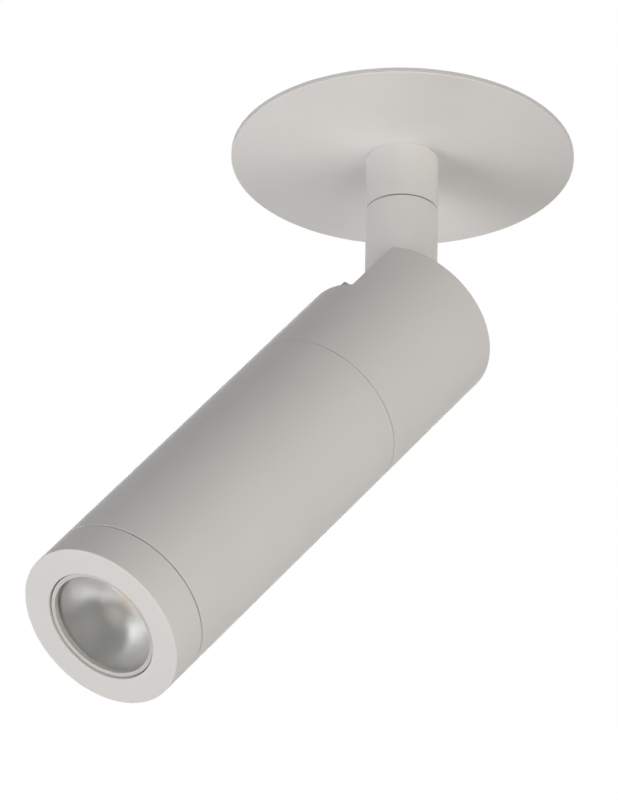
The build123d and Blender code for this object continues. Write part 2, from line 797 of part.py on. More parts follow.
with BuildPart() as led_holder:
    with BuildSketch(across(sink_front)):
        Circle(holder_r)
        Rectangle(board_side, board_side, mode=Mode.SUBTRACT)
        with PolarLocations(holder_screw_ring_r, 2):
            Circle(holder_screw_r + slip, mode=Mode.SUBTRACT)
    extrude(amount=pad_t + board_t)
    with BuildSketch(across(board_front)):
        Circle(holder_r)
        Circle(emitter_r + holder_rim, mode=Mode.SUBTRACT)
        with PolarLocations(holder_screw_ring_r, 2):
            Circle(holder_screw_r + slip, mode=Mode.SUBTRACT)
    extrude(amount=holder_front - board_front)
led_holder.part.label = "led_holder"
export_step(led_holder.part, "parts/led_holder.step")

with BuildPart() as holder_screws:
    with BuildSketch(across(sink_front - holder_screw_len + holder_t)):
        with PolarLocations(holder_screw_ring_r, 2):
            Circle(holder_screw_r - slip)
    extrude(amount=holder_screw_len)
    with BuildSketch(across(holder_front)):
        with PolarLocations(holder_screw_ring_r, 2):
            Circle(holder_screw_head_r)
    extrude(amount=holder_screw_head_t)
holder_screws.part.label = "holder_screws"
export_step(holder_screws.part, "parts/holder_screws.step")

# Lens: its side throws the light forward, and a well in its base takes in the light source
with BuildPart() as lens:
    with BuildSketch(head_section):
        with BuildLine():
            Polyline(
                (0, lens_front),
                (mouth_r, lens_front),
                (lens_rim_r, lens_front),
                (lens_rim_r, lens_rim_back),
                (lens_side_r, lens_rim_back),
            )
            ThreePointArc((lens_side_r, lens_rim_back), (lens_mid_r, lens_mid),
                          (lens_base_r, lens_base))
            Polyline(
                (lens_base_r, lens_base),
                (lens_well_r, lens_base),
                (lens_well_r, lens_well_top + lens_well_crown),
            )
            TangentArc((0, lens_well_top), (lens_well_r, lens_well_top + lens_well_crown),
                       tangent=(1, 0))
            Line((0, lens_well_top), (0, lens_front))
        make_face()
    revolve(axis=head_axis)
lens.part.label = "lens"
export_step(lens.part, "parts/lens.step")

# Lens cup: follows the lens's side, holds its rim, and has a flange in the bezel's pocket
with BuildPart() as lens_cup:
    with BuildSketch(head_section):
        with BuildLine():
            Polyline(
                (lens_side_r + cup_gap, lens_rim_back - seat_gap),
                (lens_rim_r, lens_rim_back - seat_gap),
                (lens_rim_r, flange_back),
                (flange_r, flange_back),
                (flange_r, retainer_front),
                (lens_rim_r, retainer_front),
            )
            ThreePointArc((lens_rim_r, retainer_front),
                          (lens_mid_r + cup_gap + cup_side, lens_mid - cup_side),
                          (lens_base_r + cup_gap + cup_side, lens_base))
            Line((lens_base_r + cup_gap + cup_side, lens_base),
                 (lens_base_r + cup_gap, lens_base))
            ThreePointArc((lens_base_r + cup_gap, lens_base),
                          (lens_mid_r + cup_gap, lens_mid),
                          (lens_side_r + cup_gap, lens_rim_back - seat_gap))
        make_face()
    revolve(axis=head_axis)
lens_cup.part.label = "lens_cup"
export_step(lens_cup.part, "parts/lens_cup.step")

# Lens ring: its nose shows inside the bezel's opening and its lip keeps the lens in
with BuildPart() as lens_ring:
    with BuildSketch(head_section):
        with BuildLine():
            Polyline(
                (lens_ring_in_r, flange_back),
                (flange_r, flange_back),
                (flange_r, flange_front),
                (lens_ring_r, flange_front),
                (lens_ring_r, lens_ring_front),
                (mouth_r, lens_ring_front),
                (mouth_r, lens_front),
                (lens_ring_in_r, lens_front),
                close=True,
            )
        make_face()
    revolve(axis=head_axis)
    rims = lens_ring.edges().group_by(head_axis)[-1]
    fillet(rims, lens_ring_round)
lens_ring.part.label = "lens_ring"
export_step(lens_ring.part, "parts/lens_ring.step")

lens_gasket = ring(across(flange_front), flange_r, lens_ring_r + 0.6, gasket_t)
lens_gasket.part.label = "lens_gasket"
export_step(lens_gasket.part, "parts/lens_gasket.step")

# Optic retainer: slotted ring screwed into the pocket behind the cup's flange
with BuildPart() as optic_retainer:
    with BuildSketch(across(retainer_front - retainer_t)):
        Circle(flange_r)
        Circle(flange_r - retainer_w, mode=Mode.SUBTRACT)
        with PolarLocations(flange_r - retainer_w, 4, 45):
            Rectangle(retainer_notch, retainer_notch, mode=Mode.SUBTRACT)
    extrude(amount=retainer_t)
optic_retainer.part.label = "optic_retainer"
export_step(optic_retainer.part, "parts/optic_retainer.step")

# Front bezel: threaded over the main tube, with a flat face ring around the opening
with BuildPart() as front_bezel:
    with BuildSketch(head_section):
        with BuildLine():
            Polyline(
                (thread_r, bezel_back),
                (head_r, bezel_back),
                (head_r, face),
                (opening_r, face),
                (opening_r, pocket_front),
                (pocket_r, pocket_front),
                (pocket_r, thread_end),
                (thread_r, thread_end),
                close=True,
            )
        make_face()
    revolve(axis=head_axis)
    face_rims = front_bezel.edges().group_by(head_axis)[-1]
    fillet(face_rims, face_edge_round)
    chamfer(front_bezel.edges().group_by(head_axis)[0].sort_by(SortBy.RADIUS)[-1], edge_break)
front_bezel.part.label = "front_bezel"
export_step(front_bezel.part, "parts/front_bezel.step")


def clip_plane(side, slope=0.0):
    """The clip's frame on its pin: x runs outward along the arm, y up, z along the pin."""
    run = cos(radians(slope))
    fall = sin(radians(slope))
    return Plane(origin=(0, side * pin_y, pin_z), x_dir=(0, side * run, -fall),
                 z_dir=(side, 0, 0))


def coil_point(angle):
    """A point on the coil's centre line in the clip's frame, after turning by angle degrees."""
    turned = radians(180 + angle)
    along = coil_pitch * (angle / 360 - coil_span / 720)
    return Vector(coil_r * cos(turned), coil_r * sin(turned), along)


def coil_heading(angle):
    """The direction of the wire there."""
    turned = radians(180 + angle)
    rise = coil_pitch / (2 * pi)
    return Vector(-coil_r * sin(turned), coil_r * cos(turned), rise).normalized()


# The coil turns from straight down at the cup's wall to the slope of the arm
coil_span = 360 * coil_turns + 90 - arm_slope
coil_steps = 4 * coil_turns + 1
step = coil_span / coil_steps


def joint_of(start, heading, end, end_heading):
    """The point where two equal-reach arcs from start to end meet, and the heading there."""
    chord = end - start
    both = heading + end_heading
    a = 2 * (heading.dot(end_heading) - 1)
    b = -2 * chord.dot(both)
    c = chord.dot(chord)
    reach = (-b - sqrt(b * b - 4 * a * c)) / (2 * a)
    near = start + heading * reach
    far = end - end_heading * reach
    return (near + far) / 2, (far - near).normalized()


def wire_gap():
    """The least gap between two turns of the coil, measured on points half a turn or more apart."""
    samples = [coil_point(coil_span * i / 240) for i in range(241)]
    apart = round(180 / (coil_span / 240))
    pairs = [(samples[i] - samples[j]).length
             for i in range(241) for j in range(i + apart, 241)]
    return min(pairs) - 2 * wire_r


print("least gap in a clip spring:", round(wire_gap(), 3), "mm")

for side, name in ((-1, "front"), (1, "rear")):
    pinned = clip_plane(side)
    sloped = clip_plane(side, arm_slope)

    # Clip arm: a sheet under the spring's leg, with two flanges up to the pin
    with BuildPart() as clip_arm:
        with BuildSketch(sloped):
            with Locations(((arm_len - arm_inner_end) / 2, -arm_drop - arm_t / 2)):
                Rectangle(arm_len + arm_inner_end, arm_t)
        extrude(amount=arm_half, both=True)
        for flange_x in (arm_flange_in, -arm_half):
            with BuildSketch(sloped.offset(flange_x)):
                Circle(arm_flange_r)
                with BuildLine():
                    Polyline(
                        (-arm_inner_end, -arm_drop),
                        (arm_flange_len, -arm_drop),
                        (arm_flange_r * 0.7, arm_flange_r * 0.7),
                        (-arm_flange_r * 0.7, -arm_flange_r * 0.7),
                        close=True,
                    )
                make_face()
            extrude(amount=arm_t)
        with BuildSketch(sloped):
            Circle(pin_r + slip)
        extrude(amount=arm_half, both=True, mode=Mode.SUBTRACT)
    clip_arm.part.label = f"clip_arm_{name}"
    export_step(clip_arm.part, f"parts/clip_arm_{name}.step")

    # Pad: a soft sleeve over the arm's outer end
    with BuildPart() as clip_pad:
        with BuildSketch(sloped):
            with Locations((arm_len - pad_len / 2 + pad_wall / 2, -arm_drop - arm_t / 2)):
                Rectangle(pad_len + pad_wall, arm_t + 2 * pad_wall)
        extrude(amount=arm_half + pad_wall, both=True)
        fillet(clip_pad.edges(), pad_round)
        with BuildSketch(sloped):
            with Locations((arm_len - pad_len / 2 - pad_wall, -arm_drop - arm_t / 2)):
                Rectangle(pad_len + 2 * pad_wall, arm_t)
        extrude(amount=arm_half, both=True, mode=Mode.SUBTRACT)
    clip_pad.part.label = f"clip_pad_{name}"
    export_step(clip_pad.part, f"parts/clip_pad_{name}.step")

    # Clip pin: headed at one end, spread at the other
    with BuildPart() as clip_pin:
        with BuildSketch(pinned.offset(-ear_out)):
            Circle(pin_r)
        extrude(amount=2 * ear_out)
        for end_z, out in ((ear_out, 1), (-ear_out, -1)):
            with BuildSketch(pinned.offset(end_z)):
                Circle(pin_head_r)
            extrude(amount=out * pin_head_t)
    clip_pin.part.label = f"clip_pin_{name}"
    export_step(clip_pin.part, f"parts/clip_pin_{name}.step")

    # Clip spring: one unbroken wire, a leg up the cup's wall, the coil, and a leg on the arm
    with BuildPart() as clip_spring:
        with BuildLine() as wire:
            first = coil_point(0)
            last = coil_point(coil_span)
            Line(pinned.from_local_coords(first - coil_heading(0) * leg_up),
                 pinned.from_local_coords(first))
            for turn in range(coil_steps):
                a0 = turn * step
                a1 = a0 + step
                middle, heading = joint_of(coil_point(a0), coil_heading(a0),
                                           coil_point(a1), coil_heading(a1))
                start = pinned.from_local_coords(coil_point(a0))
                meet = pinned.from_local_coords(middle)
                end = pinned.from_local_coords(coil_point(a1))
                start_dir = pinned.from_local_coords(coil_point(a0) + coil_heading(a0)) - start
                meet_dir = pinned.from_local_coords(middle + heading) - meet
                TangentArc(start, meet, tangent=start_dir)
                TangentArc(meet, end, tangent=meet_dir)
            Line(pinned.from_local_coords(last),
                 pinned.from_local_coords(last + coil_heading(coil_span) * leg_out))
        with BuildSketch(Plane(origin=wire.line @ 0, z_dir=wire.line % 0)):
            Circle(wire_r)
        sweep(path=wire.line)
    clip_spring.part.label = f"clip_spring_{name}"
    export_step(clip_spring.part, f"parts/clip_spring_{name}.step")
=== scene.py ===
"""Looks of the recessed spotlight: powder-coated plate, stem and tube head, sprung clips, optic.

Sizes in millimetres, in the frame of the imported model: +Z up into the ceiling, the origin at the
centre of the plate's back face, the head leaning toward -Y. Meshes are made in metres by mm.
"""

import json
from math import atan2, cos, hypot, pi, radians, sin

import bmesh
import bpy
from mathutils import Matrix, Vector


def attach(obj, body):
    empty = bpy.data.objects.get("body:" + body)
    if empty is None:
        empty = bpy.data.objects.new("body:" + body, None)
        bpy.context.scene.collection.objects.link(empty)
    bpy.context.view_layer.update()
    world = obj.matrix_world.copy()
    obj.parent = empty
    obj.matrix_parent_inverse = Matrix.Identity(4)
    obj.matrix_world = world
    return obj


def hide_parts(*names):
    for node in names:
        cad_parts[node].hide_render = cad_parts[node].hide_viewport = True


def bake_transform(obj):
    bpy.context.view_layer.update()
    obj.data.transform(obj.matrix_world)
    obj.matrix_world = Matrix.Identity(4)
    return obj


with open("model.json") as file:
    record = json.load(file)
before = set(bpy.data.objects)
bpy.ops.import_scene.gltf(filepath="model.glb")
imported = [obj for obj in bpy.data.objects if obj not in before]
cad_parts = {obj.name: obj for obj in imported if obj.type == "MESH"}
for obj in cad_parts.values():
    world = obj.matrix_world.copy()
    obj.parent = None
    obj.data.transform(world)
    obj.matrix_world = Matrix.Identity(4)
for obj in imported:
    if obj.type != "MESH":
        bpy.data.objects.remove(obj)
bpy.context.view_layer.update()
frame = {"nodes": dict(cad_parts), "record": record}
nodes = frame["nodes"]
record = frame["record"]
mm = 0.001

# How far a cutter reaches past what it cuts
over = 1.0

# Corners and heights closer than this, in metres, count as the same
same = 1e-6

# Plate, collar and stem; past_stem is half the width of a cutter that is wider than the stem
plate_t = 1.5
stem_r = 10.5
collar_drop = 18.6
spigot_r = 7.5
spigot_top = 3.3
swivel_bore_r = 5.0
seam = 0.6
# Seam ring in the turning seam: its dark grey colour is painted shade
seam_shade_in_r = 9.3
seam_shade_out_r = 9.95
seam_shade_drop = 0.55
seam_shade_flange_r = 10.34
seam_shade_flange_t = 0.12
groove_in_r = 7.45
groove_out_r = 9.15
groove_depth = 1.8
pivot_drop = 60.5
tilt = radians(38.7)
bush_face = 9.0
bush_pocket_r = 6.5
bolt_hole_r = 2.05
lead_r = 1.6
lead_start = (0, 1.4, -47.2)
lead_end = (0, 7.0, -71.0)
lead_from = 8.0
lead_past = 3.0
past_stem = 12.0
stem_round = 0.12
seam_shade_round = 0.04

# Head: distances ahead of the pivot
head_r = 25.0
head_back = -9.4
back_wall_front = -6.4
rear_front = 43.5
main_front = 143.0
face = 156.0
rear_in_r = 21.0
joint_r = 22.0
shoulder = 35.0
web_front = 37.5
main_in_r = 22.0
slot_half = 12.4
slot_ahead = 12.6
back_round = 1.2
housing_round = 0.3
tenon_r = 21.9
tenon_in_r = 20.0
tenon_root = 3.0
mid_seam = 0.08
neck_r = 23.3
neck_len = 6.2
tube_round = 0.22
front_seam = 0.3
bezel_in_r = 23.4
bezel_room = 6.5
bezel_pocket_r = 19.0
bezel_lip_t = 2.6
bezel_round = 0.3
opening_r = 17.1

# Optic, also ahead of the pivot
board_front = 139.3
emitter_r = 3.2
emitter_front = 139.65
emitter_dam = ((0.7, -0.05), (0.5, 0.04), (0.1, 0.04), (0, -0.06))
lens_base = 141.0
lens_base_r = 5.6
well_r = 4.0
well_top = 145.6
well_crown = 0.4
well_steps = 24
lens_mid = 146.25
lens_mid_r = 10.65
lens_side_r = 14.7
lens_rim_back = 152.5
lens_rim_r = 15.9
lens_front = 153.7
rim_gap = 0.02
cup_gap = 0.2
cup_side = 1.0
retainer_front = 150.7
flange_back = 151.6
flange_front = 152.8
flange_r = 18.85
lens_ring_in_r = 15.95
lens_ring_r = 16.85
lens_ring_front = 155.25
ring_round = 0.18
mouth_r = 15.55

# Clips
pin_y = 27.8
pin_z = 9.6
pin_r = 1.2
pin_head_r = 1.9
pin_head_t = 0.6
pin_room = 0.05
pin_round = 0.2
ear_out = 7.7
wire_r = 0.45
wire_tip = 0.6
coil_r = 2.3
coil_span = 1160.0
coil_pitch = 1.4
leg_up = 2.2
leg_out = 6.231
leg_up_steps = 4
coil_steps = 116
leg_out_steps = 6
arm_slope = radians(10)
arm_len = 15.231
arm_t = 1.0
arm_half = 5.7
arm_top = -2.85
arm_flange_len = 7.931
arm_flange_r = 2.45
arm_back = -1.0
arm_bend = 0.8
arm_round = 0.12
hood_low = -0.2
hood_end = (0.74, 0.67)
flange_root = 0.5
pad_len = 7.0
pad_wall = 0.6
pad_round = 0.35
grips = (9.7, 11.1, 12.5, 13.9)
grip_r = 0.28

# Cover screws
screw_ring_r = 20.4
screw_top = 12.95
screw_head_r = 2.2
screw_shank_r = 1.2
screw_len = 8.0
screw_cone = 1.0
screw_round = 0.06
cross_long = 1.3
cross_wide = 0.22
cross_deep = 0.8

# The head's own frame: x is the tilt axis, y the side with the slot, z runs toward the lens
head_place = Matrix.Translation((0, 0, -pivot_drop * mm)) @ Matrix.Rotation(pi - tilt, 4, "X")


def new_finish(name):
    """A new material with its nodes and its shader."""
    made = bpy.data.materials.new(name)
    made.use_nodes = True
    return made, made.node_tree, made.node_tree.nodes["Principled BSDF"]


def noise(tree, place, scale, detail):
    """A noise over the coordinates that come from place."""
    made = tree.nodes.new("ShaderNodeTexNoise")
    made.inputs["Scale"].default_value = scale
    made.inputs["Detail"].default_value = detail
    tree.links.new(place, made.inputs["Vector"])
    return made.outputs["Fac"]


def tint(tree, pattern, dark, light, skin):
    """Colours the skin from dark to light with the pattern."""
    ramp = tree.nodes.new("ShaderNodeValToRGB")
    for stop, position, colour in zip(ramp.color_ramp.elements, (0.3, 0.7), (dark, light)):
        stop.position = position
        stop.color = (*colour, 1)
    tree.links.new(pattern, ramp.inputs["Fac"])
    tree.links.new(ramp.outputs["Color"], skin.inputs["Base Color"])


def vary(tree, pattern, low, high, socket):
    """Lets the pattern move a socket between low and high."""
    span = tree.nodes.new("ShaderNodeMapRange")
    span.inputs["To Min"].default_value = low
    span.inputs["To Max"].default_value = high
    tree.links.new(pattern, span.inputs["Value"])
    tree.links.new(span.outputs["Result"], socket)


def relief(tree, pattern, strength, height, socket):
    """Raises the pattern by the height, in millimetres, on a normal socket."""
    bump = tree.nodes.new("ShaderNodeBump")
    bump.inputs["Strength"].default_value = strength
    bump.inputs["Distance"].default_value = height * mm
    tree.links.new(pattern, bump.inputs["Height"])
    tree.links.new(bump.outputs["Normal"], socket)
    return bump


def powder_coat():
    """Matt warm-white powder: a soft orange peel under a fine grain, and hardly any sheen."""
    coat, tree, skin = new_finish("powder_coat")
    skin.inputs["Specular IOR Level"].default_value = 0.35
    place = tree.nodes.new("ShaderNodeTexCoord").outputs["Object"]
    peel = noise(tree, place, 1100, 2.0)
    grain = noise(tree, place, 5200, 3.0)
    cloud = noise(tree, place, 38, 3.0)
    tint(tree, cloud, (0.655, 0.643, 0.634), (0.675, 0.664, 0.658), skin)
    vary(tree, peel, 0.50, 0.60, skin.inputs["Roughness"])
    specks = relief(tree, grain, 0.3, 0.004, skin.inputs["Normal"])
    relief(tree, peel, 0.25, 0.02, specks.inputs["Normal"])
    return coat


def surface(name, dark, light, roughness, scale, metallic=0.0, stretch=(1, 1, 1), depth=0.01):
    """A finish whose colour, roughness and relief follow one noise, which stretch can draw out."""
    finish, tree, skin = new_finish(name)
    skin.inputs["Metallic"].default_value = metallic
    draw = tree.nodes.new("ShaderNodeMapping")
    draw.inputs["Scale"].default_value = stretch
    tree.links.new(tree.nodes.new("ShaderNodeTexCoord").outputs["Object"], draw.inputs["Vector"])
    grain = noise(tree, draw.outputs["Vector"], scale, 3.0)
    tint(tree, grain, dark, light, skin)
    vary(tree, grain, roughness - 0.06, roughness + 0.06, skin.inputs["Roughness"])
    relief(tree, grain, 0.4, depth, skin.inputs["Normal"])
    return finish


def frosted_lens():
    """Frosted acrylic whose grey tint is painted shade that dims its reflections and the view
    through it: lamps shine through, and its side mirrors the light.
    """
    acrylic, tree, skin = new_finish("frosted_lens")
    # Painted shade: the grey base colour dims what the lens reflects and shows
    skin.inputs["Base Color"].default_value = (0.64, 0.64, 0.632, 1)
    skin.inputs["Transmission Weight"].default_value = 1.0
    skin.inputs["IOR"].default_value = 1.49
    place = tree.nodes.new("ShaderNodeTexCoord").outputs["Object"]
    vary(tree, noise(tree, place, 1500, 2.0), 0.29, 0.35, skin.inputs["Roughness"])
    open_way = tree.nodes.new("ShaderNodeBsdfTransparent")
    open_way.inputs["Color"].default_value = (0.9, 0.9, 0.9, 1)
    ray = tree.nodes.new("ShaderNodeLightPath")
    choice = tree.nodes.new("ShaderNodeMixShader")
    tree.links.new(ray.outputs["Is Shadow Ray"], choice.inputs["Fac"])
    tree.links.new(skin.outputs["BSDF"], choice.inputs[1])
    tree.links.new(open_way.outputs["BSDF"], choice.inputs[2])
    tree.links.new(choice.outputs["Shader"], tree.nodes["Material Output"].inputs["Surface"])
    return acrylic


finishes = {
    "powder": powder_coat(),
    "zinc": surface("zinc_plate", (0.50, 0.50, 0.48), (0.66, 0.66, 0.65), 0.32, 260, metallic=1.0),
    "steel": surface("spring_steel", (0.30, 0.30, 0.31), (0.42, 0.42, 0.43), 0.34, 900,
                     metallic=1.0, stretch=(0.15, 1, 1)),
    "aluminium": surface("cast_aluminium", (0.42, 0.42, 0.43), (0.55, 0.55, 0.56), 0.5, 500,
                         metallic=1.0, depth=0.04),
    "lens": frosted_lens(),
    "grey_plastic": surface("dark_moulding", (0.33, 0.33, 0.32), (0.37, 0.37, 0.36), 0.5, 900),
    "lens_ring": surface("grey_moulding", (0.50, 0.49, 0.47), (0.56, 0.55, 0.53), 0.4, 900),
    "white_plastic": surface("white_moulding", (0.72, 0.71, 0.68), (0.78, 0.77, 0.74), 0.42, 700),
    "bush": surface("dark_bush", (0.035, 0.035, 0.037), (0.055, 0.055, 0.058), 0.5, 800),
    "rubber": surface("black_rubber", (0.014, 0.014, 0.014), (0.026, 0.026, 0.026), 0.78, 1200,
                      depth=0.03),
    "pad": surface("soft_pad", (0.62, 0.61, 0.58), (0.70, 0.69, 0.66), 0.72, 900, depth=0.03),
    "silicone": surface("red_silicone", (0.20, 0.045, 0.025), (0.27, 0.07, 0.04), 0.6, 900),
    "thermal": surface("heat_pad", (0.28, 0.30, 0.33), (0.36, 0.38, 0.41), 0.85, 1500),
    "ceramic": surface("board_ceramic", (0.70, 0.69, 0.65), (0.80, 0.79, 0.75), 0.55, 1800),
    "phosphor": surface("yellow_phosphor", (0.72, 0.40, 0.10), (0.85, 0.52, 0.16), 0.35, 1600),
}


def turned(outline, steps=192, closed=True):
    """A lathe piece: the outline, as (radius, height), spun about the z axis."""
    shape = bmesh.new()
    corners = [shape.verts.new((radius * mm, 0, height * mm)) for radius, height in outline]
    for start, end in zip(corners, corners[1:]):
        shape.edges.new((start, end))
    if closed:
        shape.edges.new((corners[-1], corners[0]))
    bmesh.ops.spin(shape, geom=shape.verts[:] + shape.edges[:], cent=(0, 0, 0), axis=(0, 0, 1),
                   angle=2 * pi, steps=steps, use_merge=True)
    bmesh.ops.remove_doubles(shape, verts=shape.verts, dist=1e-7)
    bmesh.ops.recalc_face_normals(shape, faces=shape.faces)
    return shape


def round_off(shape, edges, width, segments):
    """Rounds the edges by the width, in millimetres."""
    bmesh.ops.bevel(shape, geom=edges, affect="EDGES", offset=width * mm, offset_type="OFFSET",
                    segments=segments, profile=0.5, material=-1, clamp_overlap=True,
                    loop_slide=True)
    return shape


def soften(shape, width, least=25, segments=3):
    """Rounds every edge that is sharper than least degrees."""
    sharp = [e for e in shape.edges if len(e.link_faces) == 2
             and e.calc_face_angle() > radians(least)]
    return round_off(shape, sharp, width, segments)


def set_out(name, shape):
    """Puts the shape into the scene as an object, and lets go of it."""
    mesh = bpy.data.meshes.new(name)
    shape.to_mesh(mesh)
    shape.free()
    made = bpy.data.objects.new(name, mesh)
    bpy.context.scene.collection.objects.link(made)
    return made


def piece(name, shape, body, slot, *stands_for, place=None):
    """Makes the finished piece from its shape, on its body, in place of the nodes it stands for."""
    if place is not None:
        bmesh.ops.transform(shape, matrix=place, verts=shape.verts)
    made = set_out(name, shape)
    made.data.shade_smooth()
    made.data.set_sharp_from_angle(angle=radians(35))
    made.data.materials.append(finishes[slot])
    even = made.modifiers.new("even_shading", "WEIGHTED_NORMAL")
    even.keep_sharp = True
    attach(made, body)
    if stands_for:
        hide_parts(*stands_for)
    return made


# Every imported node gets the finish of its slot
for part in record["subparts"]:
    node = nodes[part["node"]]
    node.data.materials.clear()
    node.data.materials.append(finishes[part["material_slot"]])


def cut(shape, *tools, how="DIFFERENCE"):
    """Cuts the tools, which are shapes too, out of the shape, or joins them to it."""
    body = set_out("whole", shape.copy())
    cutters = [set_out("cutter", tool) for tool in tools]
    for cutter in cutters:
        taken = body.modifiers.new("cut", "BOOLEAN")
        taken.operation = how
        taken.solver = "EXACT"
        taken.object = cutter
    ready = body.evaluated_get(bpy.context.evaluated_depsgraph_get()).to_mesh()
    shape.clear()
    shape.from_mesh(ready)
    for gone in (body, *cutters):
        mesh = gone.data
        bpy.data.objects.remove(gone)
        bpy.data.meshes.remove(mesh)
    bmesh.ops.remove_doubles(shape, verts=shape.verts, dist=0.004 * mm)
    bmesh.ops.dissolve_limit(shape, angle_limit=radians(0.3), use_dissolve_boundaries=False,
                             verts=shape.verts, edges=shape.edges, delimit=set())
    return shape


def box(low, high):
    """A rectangular block between two corners."""
    shape = bmesh.new()
    middle = [(a + b) / 2 * mm for a, b in zip(low, high)]
    size = [(b - a) * mm for a, b in zip(low, high)]
    bmesh.ops.create_cube(shape, size=1.0, matrix=Matrix.Translation(middle)
                          @ Matrix.Diagonal((*size, 1)))
    return shape


def rod(radius, low, high, place=Matrix.Identity(4), sides=96):
    """A round bar along z from low to high, put in place."""
    shape = bmesh.new()
    bmesh.ops.create_cone(
        shape, cap_ends=True, cap_tris=False, segments=sides, radius1=radius * mm,
        radius2=radius * mm, depth=(high - low) * mm,
        matrix=place @ Matrix.Translation((0, 0, (low + high) / 2 * mm)))
    return shape


def arc(start, middle, end, steps=20):
    """Points on the circle from start through middle to end."""
    (ax, ay), (bx, by), (cx, cy) = start, middle, end
    span = 2 * (ax * (by - cy) + bx * (cy - ay) + cx * (ay - by))
    a2, b2, c2 = ax * ax + ay * ay, bx * bx + by * by, cx * cx + cy * cy
    x = (a2 * (by - cy) + b2 * (cy - ay) + c2 * (ay - by)) / span
    y = (a2 * (cx - bx) + b2 * (ax - cx) + c2 * (bx - ax)) / span
    first = atan2(ay - y, ax - x)
    to_middle = (atan2(by - y, bx - x) - first) % (2 * pi)
    sweep = (atan2(cy - y, cx - x) - first) % (2 * pi)
    if to_middle > sweep:
        sweep -= 2 * pi
    radius = hypot(ax - x, ay - y)
    return [(x + radius * cos(first + sweep * i / steps),
             y + radius * sin(first + sweep * i / steps)) for i in range(steps + 1)]


def slab(outline, low, high, place=Matrix.Identity(4)):
    """A flat piece: the outline in x and y, thick from low to high along z."""
    shape = bmesh.new()
    face = shape.faces.new([shape.verts.new((x * mm, y * mm, low * mm)) for x, y in outline])
    raised = bmesh.ops.extrude_face_region(shape, geom=[face])["geom"]
    bmesh.ops.translate(shape, vec=(0, 0, (high - low) * mm),
                        verts=[v for v in raised if isinstance(v, bmesh.types.BMVert)])
    bmesh.ops.recalc_face_normals(shape, faces=shape.faces)
    bmesh.ops.transform(shape, matrix=place, verts=shape.verts)
    return shape


# Fixed collar, with a small round at the seam and the groove of the stop pin
piece("collar", soften(turned([
    (swivel_bore_r, -collar_drop), (groove_in_r, -collar_drop),
    (groove_in_r, -collar_drop + groove_depth), (groove_out_r, -collar_drop + groove_depth),
    (groove_out_r, -collar_drop), (stem_r, -collar_drop), (stem_r, -plate_t),
    (spigot_r, -plate_t), (spigot_r, spigot_top), (swivel_bore_r, spigot_top),
]), stem_round), "ceiling_mount", "powder", "fixed_collar")

# Seam ring: closes the turning seam just inside the stem's surface; its recess casts real shade,
# and its dark grey is painted shade that darkens the seam line further
piece("seam_shade_ring", soften(turned([
    (seam_shade_in_r, -collar_drop - seam_shade_drop), (seam_shade_out_r, -collar_drop - seam_shade_drop),
    (seam_shade_out_r, -collar_drop - seam_shade_flange_t), (seam_shade_flange_r, -collar_drop - seam_shade_flange_t),
    (seam_shade_flange_r, -collar_drop), (seam_shade_in_r, -collar_drop),
]), seam_shade_round), "ceiling_mount", "grey_plastic")

# Stem: round bar whose nose is rounded about the tilt axis, with a pocket for each bush
crosswise = Matrix.Translation((0, 0, -pivot_drop * mm)) @ Matrix.Rotation(pi / 2, 4, "Y")
lead_way = Vector(lead_end) - Vector(lead_start)
lead_place = (Matrix.Translation(Vector(lead_start) * mm)
              @ lead_way.to_track_quat("Z", "Y").to_matrix().to_4x4())
stem_bar = rod(stem_r, -pivot_drop - stem_r - over, -collar_drop - seam, sides=192)
past_nose = cut(box((-past_stem, -past_stem, -pivot_drop - past_stem - over),
                    (past_stem, past_stem, -pivot_drop)),
                rod(stem_r, -past_stem - 2 * over, past_stem + 2 * over, crosswise, sides=192))
cut(stem_bar, past_nose, rod(bush_pocket_r, bush_face, past_stem + over, crosswise),
    rod(bush_pocket_r, -past_stem - over, -bush_face, crosswise),
    rod(bolt_hole_r, -past_stem, past_stem, crosswise, 48),
    rod(lead_r, lead_from, lead_way.length + lead_past, lead_place, 32))
piece("stem_bar", soften(stem_bar, stem_round, least=35), "turning_stem", "powder", "stem")

# Rear housing: turned, then slotted for the stem through its side and its back wall
rear_shell = turned([
    (0, head_back), (head_r, head_back), (head_r, rear_front), (joint_r, rear_front),
    (joint_r, shoulder), (rear_in_r, shoulder), (rear_in_r, back_wall_front),
    (0, back_wall_front),
], closed=False)
back_rim = [e for e in rear_shell.edges if all(
    abs(v.co.z - head_back * mm) < same and v.co.xy.length > head_r * mm - same for v in e.verts)]
round_off(rear_shell, back_rim, back_round, 6)
slot = box((-slot_half, 0, head_back - over), (slot_half, head_r + 5 * over, slot_ahead))
cut(rear_shell, slot, rod(slot_half, head_back - over, back_wall_front + over / 2))
piece("rear_housing_shell", soften(rear_shell, housing_round, least=32), "head", "powder",
      "rear_housing", place=head_place)

# Main tube, plain between its two seams
piece("head_tube", soften(turned([
    (tenon_in_r, web_front), (tenon_r, web_front), (tenon_r, rear_front + mid_seam),
    (head_r, rear_front + mid_seam), (head_r, main_front), (neck_r, main_front),
    (neck_r, main_front + neck_len), (main_in_r, main_front + neck_len),
    (main_in_r, rear_front + tenon_root), (tenon_in_r, rear_front + tenon_root),
]), tube_round), "head", "powder", "main_tube", place=head_place)

# Front bezel: the flat face ring around the opening
piece("bezel", soften(turned([
    (bezel_in_r, main_front + front_seam), (head_r, main_front + front_seam), (head_r, face),
    (opening_r, face), (opening_r, face - bezel_lip_t), (bezel_pocket_r, face - bezel_lip_t),
    (bezel_pocket_r, main_front + bezel_room), (bezel_in_r, main_front + bezel_room),
]), bezel_round), "head", "powder", "front_bezel", place=head_place)

